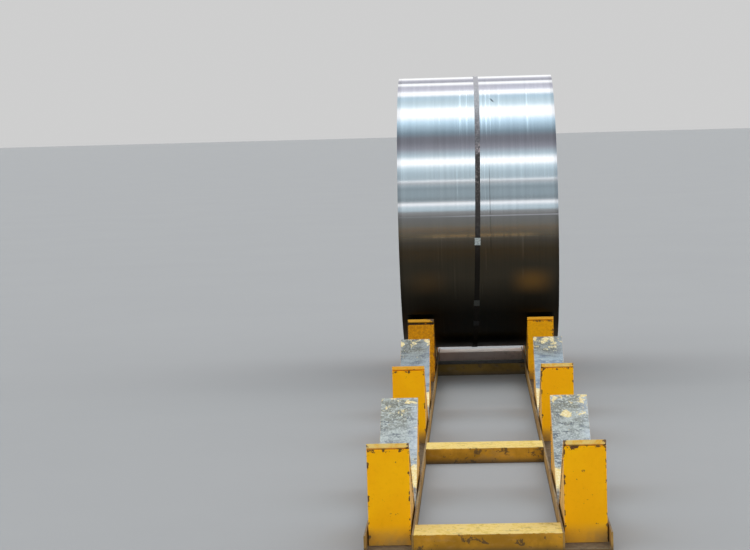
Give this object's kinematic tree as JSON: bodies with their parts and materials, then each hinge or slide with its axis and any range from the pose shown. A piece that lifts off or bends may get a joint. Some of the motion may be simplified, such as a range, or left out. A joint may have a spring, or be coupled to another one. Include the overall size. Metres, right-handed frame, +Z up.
{
  "type": "steel coil",
  "caption": "Strapped coil of steel strip lying on its side across a long floor rack of V saddles on channel rails.",
  "frame": {"origin": "on the floor, under the middle of the whole object's box", "axes": "+X along the coil's axis to its right end, +Y along the rack towards its loaded end, +Z up"},
  "size_m": [1, 6.6713, 1.9646],
  "materials": {
    "coil_steel": "bright rolled strip with fine lines round the coil and dull turn edges on the ends",
    "strap_steel": "dark waxed strapping, rusty in spots",
    "seal_steel": "dull zinc grey crimped seal",
    "saddle_paint": "orange yellow paint, chipped at the edges",
    "rack_paint": "yellow paint under dust and dirt, worn to brown",
    "wear_steel": "bare scuffed steel with remnants of yellow paint"
  },
  "bodies": {
    "root": {"coil_strap": "strap_steel", "cross_member_1": "rack_paint", "cross_member_2": "rack_paint", "cross_member_3": "rack_paint", "cross_member_4": "rack_paint", "rail_left": "rack_paint", "rail_left_end": "rack_paint", "rail_right": "rack_paint", "rail_right_end": "rack_paint", "saddle_1_far_left_end_plate": "saddle_paint", "saddle_1_far_left_side_plates": "saddle_paint", "saddle_1_far_left_wear_plate": "wear_steel", "saddle_1_far_right_end_plate": "saddle_paint", "saddle_1_far_right_side_plates": "saddle_paint", "saddle_1_far_right_wear_plate": "wear_steel", "saddle_1_near_left_end_plate": "saddle_paint", "saddle_1_near_left_side_plates": "saddle_paint", "saddle_1_near_left_wear_plate": "wear_steel", "saddle_1_near_right_end_plate": "saddle_paint", "saddle_1_near_right_side_plates": "saddle_paint", "saddle_1_near_right_wear_plate": "wear_steel", "saddle_2_far_left_end_plate": "saddle_paint", "saddle_2_far_left_side_plates": "saddle_paint", "saddle_2_far_left_wear_plate": "wear_steel", "saddle_2_far_right_end_plate": "saddle_paint", "saddle_2_far_right_side_plates": "saddle_paint", "saddle_2_far_right_wear_plate": "wear_steel", "saddle_2_near_left_end_plate": "saddle_paint", "saddle_2_near_left_side_plates": "saddle_paint", "saddle_2_near_left_wear_plate": "wear_steel", "saddle_2_near_right_end_plate": "saddle_paint", "saddle_2_near_right_side_plates": "saddle_paint", "saddle_2_near_right_wear_plate": "wear_steel", "saddle_3_far_left_end_plate": "saddle_paint", "saddle_3_far_left_side_plates": "saddle_paint", "saddle_3_far_left_wear_plate": "wear_steel", "saddle_3_far_right_end_plate": "saddle_paint", "saddle_3_far_right_side_plates": "saddle_paint", "saddle_3_far_right_wear_plate": "wear_steel", "saddle_3_near_left_end_plate": "saddle_paint", "saddle_3_near_left_side_plates": "saddle_paint", "saddle_3_near_left_wear_plate": "wear_steel", "saddle_3_near_right_end_plate": "saddle_paint", "saddle_3_near_right_side_plates": "saddle_paint", "saddle_3_near_right_wear_plate": "wear_steel", "steel_coil": "coil_steel", "strap_seal_1": "seal_steel", "strap_seal_2": "seal_steel", "strap_seal_3": "seal_steel", "strap_seal_4": "seal_steel"}
  },
  "joints": []
}
